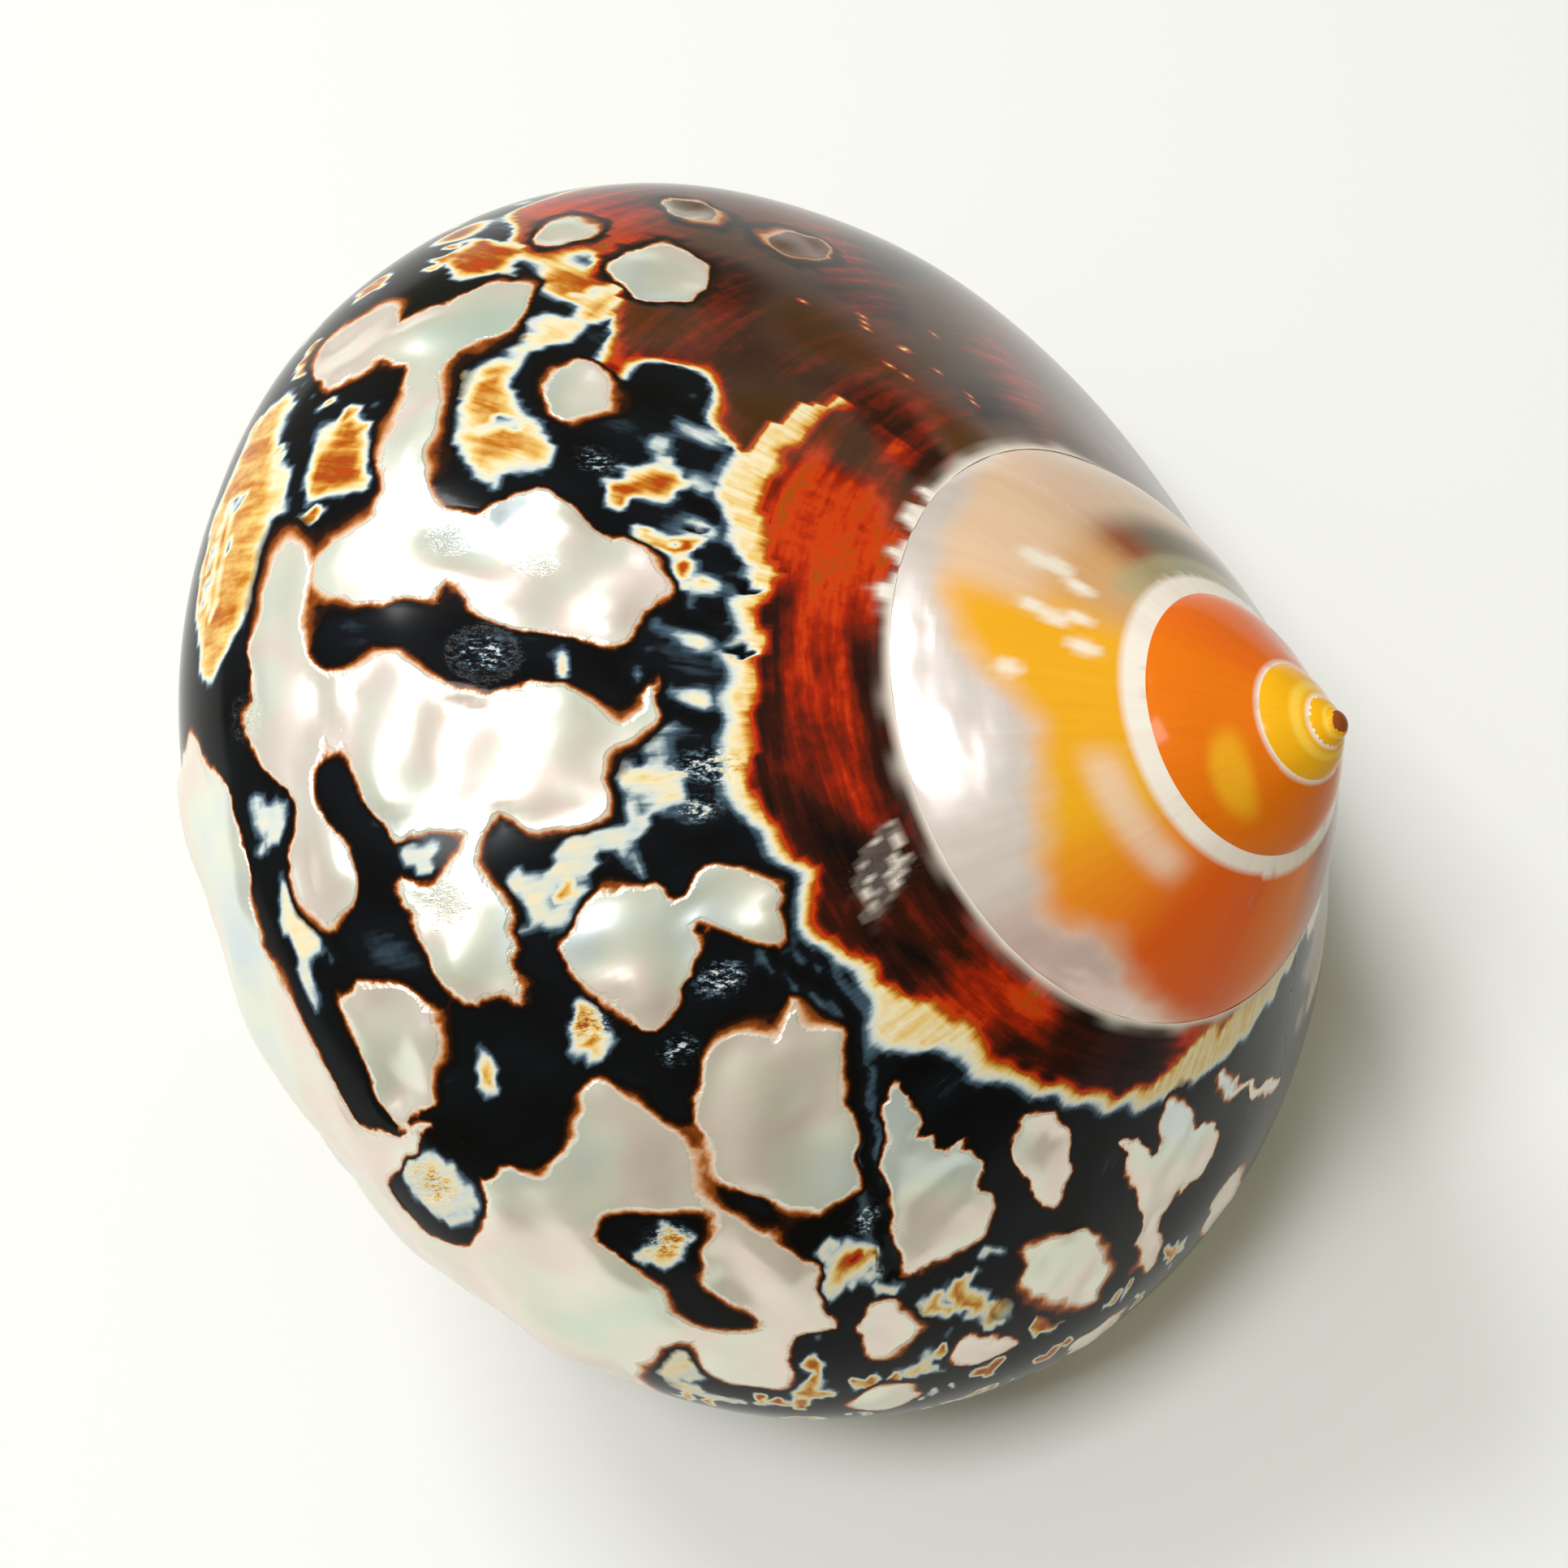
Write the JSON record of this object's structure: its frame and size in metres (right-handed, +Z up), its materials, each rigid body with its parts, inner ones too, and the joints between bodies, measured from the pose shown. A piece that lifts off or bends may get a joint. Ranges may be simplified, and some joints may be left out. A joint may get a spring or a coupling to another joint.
{
  "type": "turban shell",
  "caption": "Hollow coiled turban shell with a low spire and a wide round mouth, lying mouth down on its rim.",
  "frame": {"origin": "centre of the bounding box's bottom, on the plane that the shell rests on", "axes": "+Z up, +X towards the side that the spire points to, +Y along the longest side of the shell, away from the viewer"},
  "size_m": [0.0584, 0.075, 0.0387],
  "materials": {
    "shell": "polished grown shell: mother of pearl showing through black, brown, orange and cream outer layers, clear gloss"
  },
  "bodies": {
    "root": {"shell": "shell"}
  },
  "joints": []
}
